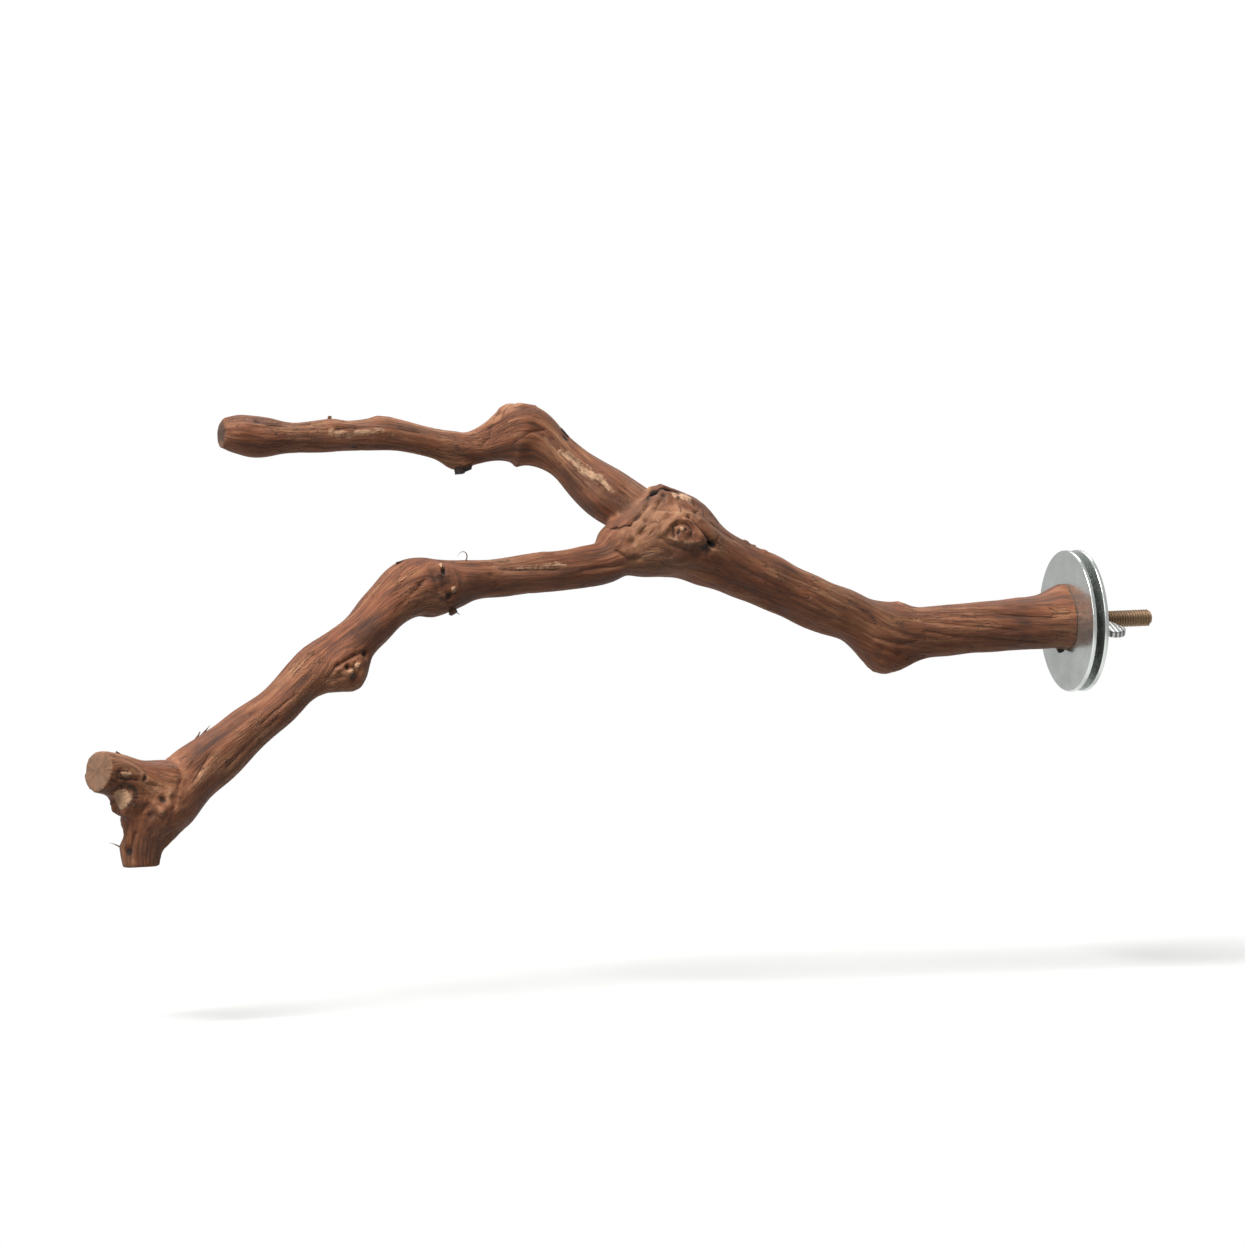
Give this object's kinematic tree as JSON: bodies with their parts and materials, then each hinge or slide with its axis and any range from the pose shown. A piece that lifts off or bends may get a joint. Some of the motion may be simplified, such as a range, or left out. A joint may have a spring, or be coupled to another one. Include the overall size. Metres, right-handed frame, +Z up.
{
  "type": "bird cage perch",
  "caption": "Forked natural vine-branch perch for a bird cage, with a hanger bolt, large washers that grip the cage bars and a wing nut.",
  "frame": {"origin": "on the bolt's axis, at the face of the inner washer that meets the cage bars", "axes": "+X along the bolt, out through the cage, with the branch towards -X; +Z up; -Y is the side that the lower limb leans to"},
  "size_m": [0.4174, 0.0865, 0.151],
  "materials": {
    "vine_wood": "stripped reddish-brown vine wood with fibrous bark, knots and paler scars",
    "bolt_steel": "dull brownish plated steel thread",
    "zinc_washer": "bright zinc plate with faint scratches",
    "zinc_nut": "cast wing nut, bright zinc plate"
  },
  "bodies": {
    "perch": {"branch": "vine_wood", "hanger_bolt": "bolt_steel"},
    "inner_washer": {"inner_washer": "zinc_washer"},
    "outer_washer": {"outer_washer": "zinc_washer"},
    "wing_nut": {"wing_nut": "zinc_nut"}
  },
  "joints": [
    {"name": "inner_washer_spin", "type": "hinge", "parent": "perch", "child": "inner_washer", "pos_m": [0, 0, 0], "axis": [1, 0, 0], "continuous": true},
    {"name": "outer_washer_slide", "type": "slide", "parent": "perch", "child": "outer_washer", "axis": [1, 0, 0], "range_m": [-0.00275, 0.01725]},
    {"name": "wing_nut_spin", "type": "hinge", "parent": "outer_washer", "child": "wing_nut", "pos_m": [0.0045, 0, 0], "axis": [1, 0, 0], "range_deg": [-990, 6210]}
  ],
  "couplings": [
    {"joint": "wing_nut_spin", "follows": "outer_washer_slide", "rad_per_m": 6283.2}
  ]
}
